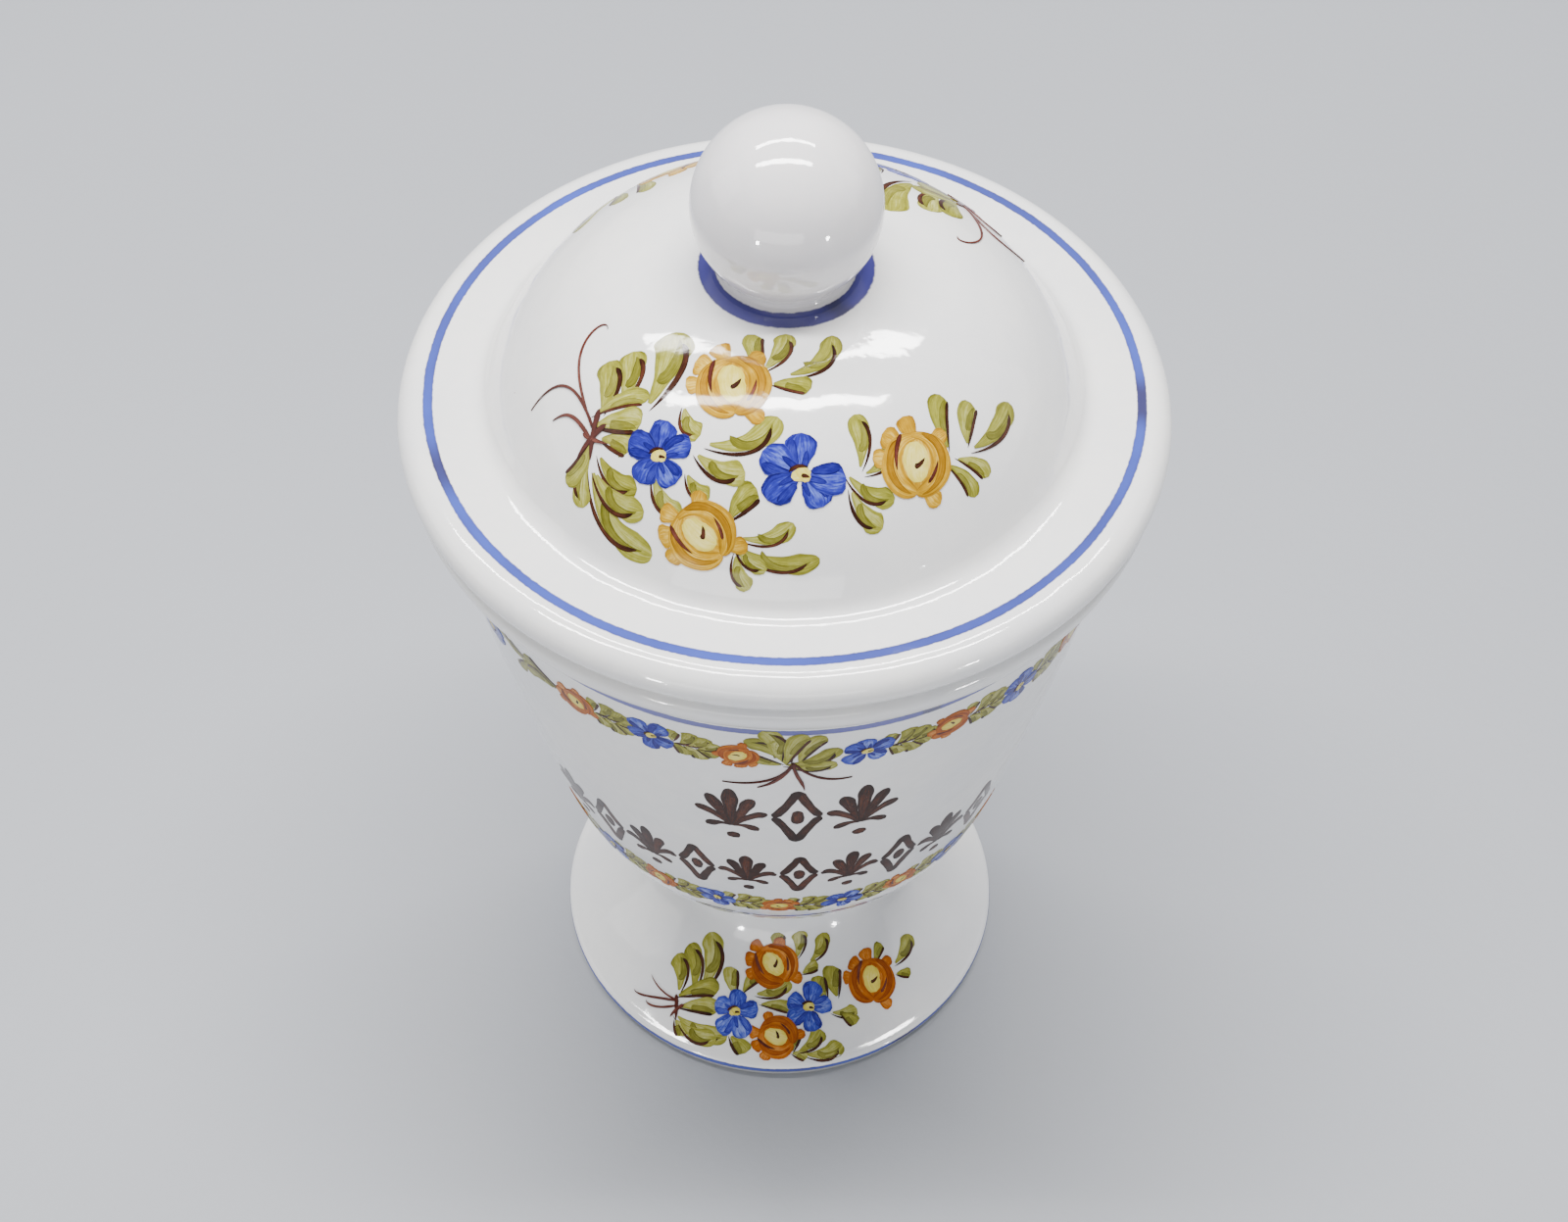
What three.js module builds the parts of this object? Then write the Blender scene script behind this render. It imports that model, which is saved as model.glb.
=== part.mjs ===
// Covered apothecary jar in tin-glazed earthenware. Lengths are in millimetres and +Z is up.
// The base rests on Z = 0 and every piece is thrown about the Z axis.
// The jar is a goblet bowl luted onto a hollow trumpet foot.
// The lid is a domed cover with a wide rolled brim, a locating flange and a ball knob.

import * as THREE from 'three'
import { mergeVertices } from 'three/addons/utils/BufferGeometryUtils.js'

// ---- driving dimensions ----

const SEGMENTS = 48
const GAP = 0.3

// foot
const FOOT_RADIUS = 53.9
const FOOT_EDGE_HEIGHT = 3.4
const FOOT_EDGE_ROUND = 1.9
const FOOT_RING_WIDTH = 6.5
const STEM_RADIUS = 23.5
const STEM_HEIGHT = 38.0
const JOINT_RADIUS = 26.0
const HOLLOW_RADIUS = 17.0
const HOLLOW_HEIGHT = 37.0

// bowl
const LINE_RADIUS = 69.3
const LINE_HEIGHT = 165.4
const WALL_LEAN_TOP = 7.7
const WALL_LEAN_LOW = 14.0
const WALL_BEND_RADIUS = 840
const BOTTOM_ROUND = 46.0
const WALL_THICKNESS = 6.0
const FLOOR_HEIGHT = 54.5
const MOUTH_RADIUS = 61.6
const LIP_RADIUS = 75.2
const LIP_HEIGHT = 178.6
const LIP_ROUND = 2.4

// lid cover
const BRIM_HEIGHT = 187.5
const BRIM_RADIUS = 76.4
const BRIM_ROUND = (BRIM_HEIGHT - LIP_HEIGHT - GAP) / 2
const DOME_RADIUS = 58.8
const DOME_RISE = 30.6
const DOME_POWER = 3.6
const DOME_FULLNESS = 1.12
const DOME_FILLET = 3.6
const COVER_THICKNESS = 5.5
const NECK_RADIUS = 13.6

// locating flange under the lid
const FLANGE_RADIUS = 60.2
const FLANGE_THICKNESS = 5.0
const FLANGE_DEPTH = 12.0

// knob
const BALL_RADIUS = 17.9
const BALL_HEIGHT = BRIM_HEIGHT + 45.3
const WAIST_RADIUS = 12.9
const VENT_RADIUS = 3.0
const BALL_BORE_RADIUS = 10.2

// ---- helpers ----

function radians(degrees) {
  return (degrees * Math.PI) / 180
}

// Points [radius, height] on an arc. Angles are in degrees, from outwards towards up.
function arc(centreRadius, centreHeight, size, from, to, steps) {
  const points = []
  for (let i = 0; i <= steps; i++) {
    const angle = radians(from + ((to - from) * i) / steps)
    points.push([centreRadius + size * Math.cos(angle), centreHeight + size * Math.sin(angle)])
  }
  return points
}

// Points on a cubic curve with two end points and two handles.
function curve(start, handleA, handleB, end, steps) {
  const points = []
  for (let i = 0; i <= steps; i++) {
    const t = i / steps
    const s = 1 - t
    const mix = (k) =>
      s * s * s * start[k] + 3 * s * s * t * handleA[k] + 3 * s * t * t * handleB[k] + t * t * t * end[k]
    points.push([mix(0), mix(1)])
  }
  return points
}

// The last point of an outline.
function last(points) {
  return points[points.length - 1]
}

// Turns an outline of [radius, height] about Z. It lists the outline with the clay on its left.
function turned(outline) {
  const flat = outline.map(([radius, height]) => new THREE.Vector2(Math.max(radius, 0), height))
  const lathe = new THREE.LatheGeometry(flat, SEGMENTS)
  lathe.rotateX(Math.PI / 2)
  lathe.deleteAttribute('normal')
  lathe.deleteAttribute('uv')
  const geometry = mergeVertices(lathe, 1e-4)
  const corners = geometry.index.array
  const kept = []
  for (let i = 0; i < corners.length; i += 3) {
    const [a, b, c] = [corners[i], corners[i + 1], corners[i + 2]]
    if (a !== b && b !== c && c !== a) kept.push(a, b, c)
  }
  geometry.setIndex(kept)
  geometry.computeVertexNormals()
  return geometry
}

// The signed volume of a closed mesh, positive when its faces look out.
function volume(geometry) {
  const place = geometry.attributes.position
  const corners = geometry.index.array
  const point = [new THREE.Vector3(), new THREE.Vector3(), new THREE.Vector3()]
  let sum = 0
  for (let i = 0; i < corners.length; i += 3) {
    for (let k = 0; k < 3; k++) point[k].fromBufferAttribute(place, corners[i + k])
    sum += point[0].dot(point[1].cross(point[2])) / 6
  }
  return sum
}

// Adds one piece, with its faces looking out.
function add(group, name, outline, material) {
  const geometry = turned(outline)
  if (volume(geometry) < 0) {
    const corners = Array.from(geometry.index.array)
    for (let i = 0; i < corners.length; i += 3) {
      const swap = corners[i + 1]
      corners[i + 1] = corners[i + 2]
      corners[i + 2] = swap
    }
    geometry.setIndex(corners)
    geometry.computeVertexNormals()
  }
  const mesh = new THREE.Mesh(geometry, material)
  mesh.name = name
  group.add(mesh)
}

function glaze(colour, roughness) {
  return new THREE.MeshStandardMaterial({ color: colour, roughness, metalness: 0 })
}

// ---- outlines ----

// The leaning wall and rounded bottom of the bowl, from the painted line down to a radius.
function bowlWall(line, inset, end) {
  const lean = radians(WALL_LEAN_TOP)
  const bendRadius = line - inset - WALL_BEND_RADIUS * Math.cos(lean)
  const bendHeight = LINE_HEIGHT + WALL_BEND_RADIUS * Math.sin(lean)
  const wall = arc(bendRadius, bendHeight, WALL_BEND_RADIUS, -WALL_LEAN_TOP, -WALL_LEAN_LOW, 6)
  const low = radians(WALL_LEAN_LOW)
  const size = BOTTOM_ROUND - inset
  const [wallRadius, wallHeight] = last(wall)
  const centre = wallRadius - size * Math.cos(low)
  const middle = wallHeight + size * Math.sin(low)
  const endAngle = (Math.acos((end - centre) / size) * 180) / Math.PI
  return [...wall, ...arc(centre, middle, size, -WALL_LEAN_LOW, -endAngle, 12).slice(1)]
}

// The bowl stands on the foot where its bottom has rounded in to the joint's radius.
const JOINT_HEIGHT = last(bowlWall(LINE_RADIUS, 0, JOINT_RADIUS))[1]

// The trumpet foot: luting pad, waisted stem, flared skirt, rounded edge, foot ring, open hollow.
function footOutline() {
  const top = JOINT_HEIGHT - GAP
  const skirt = curve(
    [STEM_RADIUS, STEM_HEIGHT],
    [STEM_RADIUS - 0.5, STEM_HEIGHT - 17],
    [STEM_RADIUS + 13, FOOT_EDGE_HEIGHT + 7.5],
    [FOOT_RADIUS - FOOT_EDGE_ROUND, FOOT_EDGE_HEIGHT + FOOT_EDGE_ROUND],
    14
  )
  const edge = arc(
    FOOT_RADIUS - FOOT_EDGE_ROUND,
    FOOT_EDGE_HEIGHT,
    FOOT_EDGE_ROUND,
    72,
    -20,
    4
  )
  const hollow = curve(
    [FOOT_RADIUS - FOOT_RING_WIDTH - 1.2, 1.2],
    [HOLLOW_RADIUS + 15, 7],
    [HOLLOW_RADIUS + 0.5, 14],
    [HOLLOW_RADIUS, HOLLOW_HEIGHT - 9],
    10
  )
  return [
    [0, top],
    [JOINT_RADIUS - 0.8, top],
    [JOINT_RADIUS, top - 0.8],
    [STEM_RADIUS + 0.9, STEM_HEIGHT + 3.2],
    ...skirt,
    ...edge,
    [FOOT_RADIUS - 1.1, 0],
    [FOOT_RADIUS - FOOT_RING_WIDTH, 0],
    ...hollow,
    [HOLLOW_RADIUS - 2.6, HOLLOW_HEIGHT - 2.6],
    [HOLLOW_RADIUS - 8, HOLLOW_HEIGHT],
    [0, HOLLOW_HEIGHT],
  ]
}

// The bowl: cup with a coved, turned-out lip on which the lid rests.
function bowlOutline() {
  const lip = arc(LIP_RADIUS - LIP_ROUND, LIP_HEIGHT - LIP_ROUND, LIP_ROUND, 90, -10, 5)
  const cove = curve(
    [LIP_RADIUS - 0.4, LIP_HEIGHT - 4.2],
    [LIP_RADIUS - 1.6, LIP_HEIGHT - 8.2],
    [LINE_RADIUS + 0.9, LINE_HEIGHT + 4.6],
    [LINE_RADIUS, LINE_HEIGHT],
    5
  )
  const outside = bowlWall(LINE_RADIUS, 0, JOINT_RADIUS)
  const inside = bowlWall(LINE_RADIUS, WALL_THICKNESS, JOINT_RADIUS).reverse()
  const round = inside.filter(([, height]) => height > FLOOR_HEIGHT + 2)
  return [
    [0, FLOOR_HEIGHT],
    [round[0][0] - 12, FLOOR_HEIGHT],
    [round[0][0] - 4.5, FLOOR_HEIGHT + 0.7],
    ...round,
    [MOUTH_RADIUS, LIP_HEIGHT - 6],
    [MOUTH_RADIUS, LIP_HEIGHT - 1.2],
    [MOUTH_RADIUS + 1.2, LIP_HEIGHT],
    ...lip,
    ...cove,
    ...outside.slice(1),
    [0, JOINT_HEIGHT],
  ]
}

// The height of the dome over the brim at a radius.
function domeRise(radius) {
  return DOME_RISE * Math.pow(1 - Math.pow(radius / DOME_RADIUS, DOME_POWER), 1 / DOME_FULLNESS)
}

// The cover: dome, fillet, flat brim, rolled edge and hollow underside.
function coverOutline() {
  const dome = []
  for (const radius of [NECK_RADIUS, 18, 24, 30, 35, 40, 44, 48, 51, 53.5, 55.5, 57]) {
    dome.push([radius, BRIM_HEIGHT + domeRise(radius)])
  }
  const fillet = curve(
    [DOME_RADIUS - 0.9, BRIM_HEIGHT + domeRise(DOME_RADIUS - 0.9)],
    [DOME_RADIUS, BRIM_HEIGHT + 0.9],
    [DOME_RADIUS + DOME_FILLET * 0.5, BRIM_HEIGHT],
    [DOME_RADIUS + DOME_FILLET * 1.5, BRIM_HEIGHT],
    4
  )
  const edge = arc(BRIM_RADIUS - BRIM_ROUND, BRIM_HEIGHT - BRIM_ROUND, BRIM_ROUND, 90, -90, 10)
  const underside = []
  for (const radius of [52.5, 50.5, 47, 42, 36, 28, 18, VENT_RADIUS]) {
    const scale = DOME_RADIUS / (DOME_RADIUS - COVER_THICKNESS)
    const rise = domeRise(radius * scale) - COVER_THICKNESS
    underside.push([radius, BRIM_HEIGHT + rise])
  }
  return [
    [VENT_RADIUS, BRIM_HEIGHT + domeRise(VENT_RADIUS)],
    ...dome,
    ...fillet,
    ...edge,
    [FLANGE_RADIUS - FLANGE_THICKNESS - 1.5, BRIM_HEIGHT - 2 * BRIM_ROUND],
    ...underside,
    [VENT_RADIUS, BRIM_HEIGHT + domeRise(VENT_RADIUS)],
  ]
}

// The ring that drops inside the mouth and keeps the lid centred.
function flangeOutline() {
  const top = BRIM_HEIGHT - 2 * BRIM_ROUND - GAP
  const low = top - FLANGE_DEPTH
  const inner = FLANGE_RADIUS - FLANGE_THICKNESS
  return [
    [FLANGE_RADIUS, top],
    [FLANGE_RADIUS, top - 1],
    [FLANGE_RADIUS - 0.4, low + 2.2],
    [FLANGE_RADIUS - 1.8, low + 0.4],
    [FLANGE_RADIUS - 2.6, low],
    [inner + 0.8, low + 0.4],
    [inner, low + 2.2],
    [inner, top],
    [FLANGE_RADIUS, top],
  ]
}

// The knob: a hollow ball on a short neck, vented down through the cover.
function knobOutline() {
  const foot = BRIM_HEIGHT + domeRise(NECK_RADIUS) + GAP
  const waistAngle = (Math.acos(WAIST_RADIUS / BALL_RADIUS) * 180) / Math.PI
  const ball = arc(0, BALL_HEIGHT, BALL_RADIUS, 90, -waistAngle, 17)
  const bore = arc(
    0,
    BALL_HEIGHT,
    BALL_BORE_RADIUS,
    -(Math.acos(VENT_RADIUS / BALL_BORE_RADIUS) * 180) / Math.PI,
    90,
    9
  )
  return [
    ...ball,
    [WAIST_RADIUS - 0.2, BALL_HEIGHT - BALL_RADIUS * Math.sin(radians(waistAngle)) - 0.8],
    [NECK_RADIUS, foot],
    [VENT_RADIUS, BRIM_HEIGHT + DOME_RISE + GAP],
    ...bore,
  ]
}

// ---- assembly ----

const jar = new THREE.Group()
jar.name = 'apothecary_jar'
add(jar, 'jar_foot', footOutline(), glaze(0xe6e7ec, 0.14))
add(jar, 'jar_bowl', bowlOutline(), glaze(0xe9eaee, 0.13))
add(jar, 'lid_cover', coverOutline(), glaze(0xeeeeef, 0.12))
add(jar, 'lid_flange', flangeOutline(), glaze(0xe4e2de, 0.2))
add(jar, 'lid_knob', knobOutline(), glaze(0xeae7e8, 0.11))

export default jar
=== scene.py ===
import math
import random

import bpy
import numpy as np
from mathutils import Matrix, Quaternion, Vector


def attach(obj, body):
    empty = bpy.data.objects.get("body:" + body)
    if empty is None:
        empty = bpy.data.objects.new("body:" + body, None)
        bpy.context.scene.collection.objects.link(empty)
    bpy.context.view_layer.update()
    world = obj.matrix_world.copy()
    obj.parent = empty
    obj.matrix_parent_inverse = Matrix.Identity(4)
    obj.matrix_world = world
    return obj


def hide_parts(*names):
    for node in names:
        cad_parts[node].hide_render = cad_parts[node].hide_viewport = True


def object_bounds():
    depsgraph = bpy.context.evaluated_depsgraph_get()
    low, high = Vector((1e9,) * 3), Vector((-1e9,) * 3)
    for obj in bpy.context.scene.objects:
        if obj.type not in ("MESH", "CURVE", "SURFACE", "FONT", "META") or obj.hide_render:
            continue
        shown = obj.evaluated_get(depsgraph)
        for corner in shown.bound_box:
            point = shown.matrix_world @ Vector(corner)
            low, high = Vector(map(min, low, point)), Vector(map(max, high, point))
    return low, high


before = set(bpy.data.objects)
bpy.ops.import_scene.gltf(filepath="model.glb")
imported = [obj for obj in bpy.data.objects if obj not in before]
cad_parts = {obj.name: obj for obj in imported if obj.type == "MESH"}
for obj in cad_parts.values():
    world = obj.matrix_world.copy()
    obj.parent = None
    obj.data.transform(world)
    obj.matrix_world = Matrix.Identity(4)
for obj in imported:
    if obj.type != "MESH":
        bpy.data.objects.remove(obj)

# The covered apothecary jar. Outlines are in millimetres (radius, height) about +Z, as in the CAD.
# Azimuths are in degrees from the front (-Y) towards +X.

CAD_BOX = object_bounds()
MM = 0.001
SIDES = 288             # faces round the axis of a turned piece
SHARP_FROM = 50         # degrees between two faces that makes their edge a sharp one
brush_hand = random.Random(11)

# ---- dimensions in mm and degrees, as in the CAD model but for a tighter DOME_FILLET ----

FOOT_RADIUS, FOOT_EDGE_HEIGHT, FOOT_EDGE_ROUND, FOOT_RING_WIDTH = 53.9, 3.4, 1.9, 6.5
STEM_RADIUS, STEM_HEIGHT, JOINT_RADIUS = 23.5, 38.0, 26.0
HOLLOW_RADIUS, HOLLOW_HEIGHT = 17.0, 37.0
LINE_RADIUS, LINE_HEIGHT = 69.3, 165.4
WALL_LEAN_TOP, WALL_LEAN_LOW, WALL_BEND_RADIUS, BOTTOM_ROUND = 7.7, 14.0, 840.0, 46.0
WALL_THICKNESS, FLOOR_HEIGHT, MOUTH_RADIUS = 6.0, 54.5, 61.6
LIP_RADIUS, LIP_HEIGHT, LIP_ROUND = 75.2, 178.6, 2.4
BRIM_HEIGHT, BRIM_RADIUS, BRIM_ROUND = 187.5, 76.4, 4.3
DOME_RADIUS, DOME_RISE, DOME_POWER, DOME_FULLNESS, DOME_FILLET = 58.8, 30.6, 3.6, 1.12, 2.4
COVER_THICKNESS, NECK_RADIUS, VENT_RADIUS = 5.5, 13.6, 3.0
FLANGE_RADIUS, FLANGE_THICKNESS, FLANGE_DEPTH = 60.2, 5.0, 12.0
BALL_RADIUS, BALL_HEIGHT, WAIST_RADIUS, BALL_BORE_RADIUS = 17.9, 232.8, 12.9, 10.2

# ---- outlines ----


def arc(centre_radius, centre_height, size, start, stop, steps):
    points = []
    for i in range(steps + 1):
        angle = math.radians(start + (stop - start) * i / steps)
        radius = centre_radius + size * math.cos(angle)
        points.append((radius, centre_height + size * math.sin(angle)))
    return points


def curve(start, handle_a, handle_b, end, steps):
    points = []
    for i in range(steps + 1):
        t = i / steps
        s = 1 - t
        a, b, c, d = s ** 3, 3 * s * s * t, 3 * s * t * t, t ** 3
        points.append(tuple(
            a * start[k] + b * handle_a[k] + c * handle_b[k] + d * end[k] for k in (0, 1)
        ))
    return points


def bowl_wall(inset, end):
    lean, low = math.radians(WALL_LEAN_TOP), math.radians(WALL_LEAN_LOW)
    bend_radius = LINE_RADIUS - inset - WALL_BEND_RADIUS * math.cos(lean)
    bend_height = LINE_HEIGHT + WALL_BEND_RADIUS * math.sin(lean)
    wall = arc(bend_radius, bend_height, WALL_BEND_RADIUS, -WALL_LEAN_TOP, -WALL_LEAN_LOW, 60)
    size = BOTTOM_ROUND - inset
    centre = wall[-1][0] - size * math.cos(low)
    middle = wall[-1][1] + size * math.sin(low)
    end_angle = math.degrees(math.acos((end - centre) / size))
    return wall + arc(centre, middle, size, -WALL_LEAN_LOW, -end_angle, 64)[1:]


def dome_rise(radius):
    share = max(0.0, 1 - (radius / DOME_RADIUS) ** DOME_POWER)
    return DOME_RISE * share ** (1 / DOME_FULLNESS)


JOINT_HEIGHT = bowl_wall(0, JOINT_RADIUS)[-1][1]


def foot_skirt():
    return curve(
        (STEM_RADIUS, STEM_HEIGHT), (STEM_RADIUS - 0.5, STEM_HEIGHT - 17),
        (STEM_RADIUS + 13, FOOT_EDGE_HEIGHT + 7.5),
        (FOOT_RADIUS - FOOT_EDGE_ROUND, FOOT_EDGE_HEIGHT + FOOT_EDGE_ROUND), 64,
    )


def foot_outline():
    """The luting pad runs a little into the bowl and swells over the joint, as slip does."""
    edge = arc(FOOT_RADIUS - FOOT_EDGE_ROUND, FOOT_EDGE_HEIGHT, FOOT_EDGE_ROUND, 72, -40, 14)
    collar = curve(
        (JOINT_RADIUS + 0.9, JOINT_HEIGHT + 0.6), (JOINT_RADIUS - 0.5, JOINT_HEIGHT - 1.6),
        (STEM_RADIUS + 0.2, STEM_HEIGHT + 2.2), (STEM_RADIUS, STEM_HEIGHT), 12,
    )
    hollow = curve(
        (FOOT_RADIUS - FOOT_RING_WIDTH - 1.2, 1.2), (HOLLOW_RADIUS + 15, 7),
        (HOLLOW_RADIUS + 0.5, 14), (HOLLOW_RADIUS, HOLLOW_HEIGHT - 9), 40,
    )
    crown = arc(HOLLOW_RADIUS - 9, HOLLOW_HEIGHT - 9, 9, 0, 90, 12)[1:]
    ring = [
        (FOOT_RADIUS - 0.9, 0.5), (FOOT_RADIUS - 1.8, 0.0), (FOOT_RADIUS - 3.2, 0.0),
        (FOOT_RADIUS - 4.8, 0.0), (FOOT_RADIUS - FOOT_RING_WIDTH, 0.0),
        (FOOT_RADIUS - FOOT_RING_WIDTH - 0.7, 0.4),
    ]
    return (
        [(0, JOINT_HEIGHT + 0.6)] + collar + foot_skirt()[1:] + edge + ring + hollow + crown
        + [(4, HOLLOW_HEIGHT), (0, HOLLOW_HEIGHT)]
    )


def bowl_outline():
    lip = arc(LIP_RADIUS - LIP_ROUND, LIP_HEIGHT - LIP_ROUND, LIP_ROUND, 90, -10, 14)
    cove = curve(
        (LIP_RADIUS - 0.4, LIP_HEIGHT - 4.2), (LIP_RADIUS - 1.6, LIP_HEIGHT - 8.2),
        (LINE_RADIUS + 0.9, LINE_HEIGHT + 4.6), (LINE_RADIUS, LINE_HEIGHT), 24,
    )
    inside = bowl_wall(WALL_THICKNESS, JOINT_RADIUS)[::-1]
    inside = [p for p in inside if p[1] > FLOOR_HEIGHT + 2]
    start = inside[0]
    floor = curve(
        (start[0] - 14, FLOOR_HEIGHT), (start[0] - 7, FLOOR_HEIGHT),
        (start[0] - 3, FLOOR_HEIGHT + 0.6), start, 10,
    )
    mouth = curve(
        inside[-1], (MOUTH_RADIUS + 0.9, LIP_HEIGHT - 9), (MOUTH_RADIUS, LIP_HEIGHT - 7),
        (MOUTH_RADIUS, LIP_HEIGHT - 1.2), 10,
    )
    inner_edge = arc(MOUTH_RADIUS + 1.2, LIP_HEIGHT - 1.2, 1.2, 180, 90, 6)
    return (
        [(0, FLOOR_HEIGHT), (8, FLOOR_HEIGHT), (20, FLOOR_HEIGHT)] + floor + inside[1:-1] + mouth
        + inner_edge[1:] + [(66, LIP_HEIGHT), (70, LIP_HEIGHT)] + lip + cove
        + bowl_wall(0, JOINT_RADIUS)[1:] + [(12, JOINT_HEIGHT), (0, JOINT_HEIGHT)]
    )


def dome_outline():
    """The top of the cover from the neck out to the flat of the brim."""
    radii = [NECK_RADIUS + (DOME_RADIUS - 1.9 - NECK_RADIUS) * math.sin(math.pi / 2 * i / 64)
             for i in range(65)]
    dome = [(r, BRIM_HEIGHT + dome_rise(r)) for r in radii]
    fillet = curve(
        (DOME_RADIUS - 0.9, BRIM_HEIGHT + dome_rise(DOME_RADIUS - 0.9)),
        (DOME_RADIUS, BRIM_HEIGHT + 0.9), (DOME_RADIUS + DOME_FILLET * 0.5, BRIM_HEIGHT),
        (DOME_RADIUS + DOME_FILLET * 1.5, BRIM_HEIGHT), 14,
    )
    return dome + fillet


def cover_outline():
    edge = arc(BRIM_RADIUS - BRIM_ROUND, BRIM_HEIGHT - BRIM_ROUND, BRIM_ROUND, 90, -90, 32)
    scale = DOME_RADIUS / (DOME_RADIUS - COVER_THICKNESS)
    underside = []
    for i in range(41):
        radius = VENT_RADIUS + (52.6 - VENT_RADIUS) * math.cos(math.pi / 2 * i / 40)
        underside.append((radius, BRIM_HEIGHT + dome_rise(radius * scale) - COVER_THICKNESS))
    seat = BRIM_HEIGHT - 2 * BRIM_ROUND
    return (
        [(VENT_RADIUS, BRIM_HEIGHT + dome_rise(VENT_RADIUS)), (8, BRIM_HEIGHT + dome_rise(8))]
        + dome_outline() + [(66.5, BRIM_HEIGHT), (69.0, BRIM_HEIGHT)] + edge
        + [(68, seat), (62, seat), (54.6, seat), (53.7, seat + 0.4)] + underside
    )


def flange_outline():
    """The locating ring is luted on, so it runs a little into the cover above it."""
    top = BRIM_HEIGHT - 2 * BRIM_ROUND + 0.4
    low = top - FLANGE_DEPTH - 0.7
    inner = FLANGE_RADIUS - FLANGE_THICKNESS
    outside = arc(FLANGE_RADIUS - 2.2, low + 2.2, 2.2, -90, 0, 8)
    inside = arc(inner + 1.6, low + 1.6, 1.6, 180, 270, 8)
    return (
        [(inner - 0.7, top), (inner, top - 1.3), (inner, top - 6)] + inside
        + outside + [(FLANGE_RADIUS, top - 6), (FLANGE_RADIUS, top)]
    )


def knob_outline():
    """Hollow ball on a short neck that flares on to the cover."""
    waist = math.degrees(math.acos(WAIST_RADIUS / BALL_RADIUS))
    ball = arc(0, BALL_HEIGHT, BALL_RADIUS, 89.6, -waist, 64)
    foot = BRIM_HEIGHT + dome_rise(NECK_RADIUS)
    under = BALL_HEIGHT - BALL_RADIUS * math.sin(math.radians(waist))
    neck = curve(
        (WAIST_RADIUS - 0.25, under - 0.7), (WAIST_RADIUS - 0.6, under - 1.6),
        (NECK_RADIUS - 0.6, foot + 0.8), (NECK_RADIUS + 0.75, foot - 0.12), 12,
    )
    bore = arc(0, BALL_HEIGHT, BALL_BORE_RADIUS,
               -math.degrees(math.acos(VENT_RADIUS / BALL_BORE_RADIUS)), 90, 24)
    return (
        [(0, BALL_HEIGHT + BALL_RADIUS)] + ball + neck + [(NECK_RADIUS - 1, foot - 0.3)]
        + [(VENT_RADIUS, BRIM_HEIGHT + DOME_RISE - 0.2)] + bore[:-1]
        + [(0, BALL_HEIGHT + BALL_BORE_RADIUS)]
    )


# ---- meshes ----

# size in mm, number of lobes, phase, and twist per mm of height
OVALNESS = ((0.11, 2, 0.6, 0.011), (0.06, 3, -1.1, -0.017), (0.03, 5, 2.0, 0.03))
OVAL_FROM = 30.0


def hand_thrown(points):
    """Points in mm, moved by the slight ovalness that every thrown piece has away from its axis."""
    radius = np.hypot(points[:, 0], points[:, 1])
    turn = np.arctan2(points[:, 1], points[:, 0])
    height = points[:, 2]
    swell = sum(
        size * np.cos(lobes * turn + phase + height * twist)
        for size, lobes, phase, twist in OVALNESS
    )
    swell = swell * np.clip(radius / OVAL_FROM, 0, 1)
    share = (radius + swell) / np.maximum(radius, 1e-6)
    moved = points.copy()
    moved[:, 0] *= share
    moved[:, 1] *= share
    return moved


def make_piece(name, points, faces, materials, body, nodes=()):
    mesh = bpy.data.meshes.new(name)
    mesh.from_pydata((hand_thrown(np.asarray(points, float)) * MM).tolist(), [], faces)
    mesh.validate()
    for material in materials:
        mesh.materials.append(material)
    mesh.shade_smooth()
    piece = bpy.data.objects.new(name, mesh)
    bpy.context.scene.collection.objects.link(piece)
    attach(piece, body)
    if nodes:
        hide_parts(*nodes)
    return piece


def lathe(name, outline, material, body, node):
    """A closed solid of revolution. An outline that leaves the axis closes on itself."""
    points, rings, faces = [], [], []
    for radius, height in outline:
        if radius < 1e-6:
            rings.append([len(points)])
            points.append((0, 0, height))
            continue
        ring = []
        for k in range(SIDES):
            angle = 2 * math.pi * k / SIDES
            ring.append(len(points))
            points.append((radius * math.cos(angle), radius * math.sin(angle), height))
        rings.append(ring)
    pairs = list(zip(rings, rings[1:]))
    if len(rings[0]) > 1:
        pairs.append((rings[-1], rings[0]))
    for a, b in pairs:
        for k in range(SIDES):
            n = (k + 1) % SIDES
            if len(a) == 1:
                faces.append((a[0], b[k], b[n]))
            elif len(b) == 1:
                faces.append((a[k], b[0], a[n]))
            else:
                faces.append((a[k], b[k], b[n], a[n]))
    twice_area = sum(
        (p[0] - q[0]) * (p[1] + q[1]) for p, q in zip(outline, outline[1:] + outline[:1])
    )
    if twice_area > 0:      # an outline listed anticlockwise would give inward faces
        faces = [face[::-1] for face in faces]
    piece = make_piece(name, points, faces, [material], body, [node])
    piece.data.set_sharp_from_angle(angle=math.radians(SHARP_FROM))
    return piece


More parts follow.
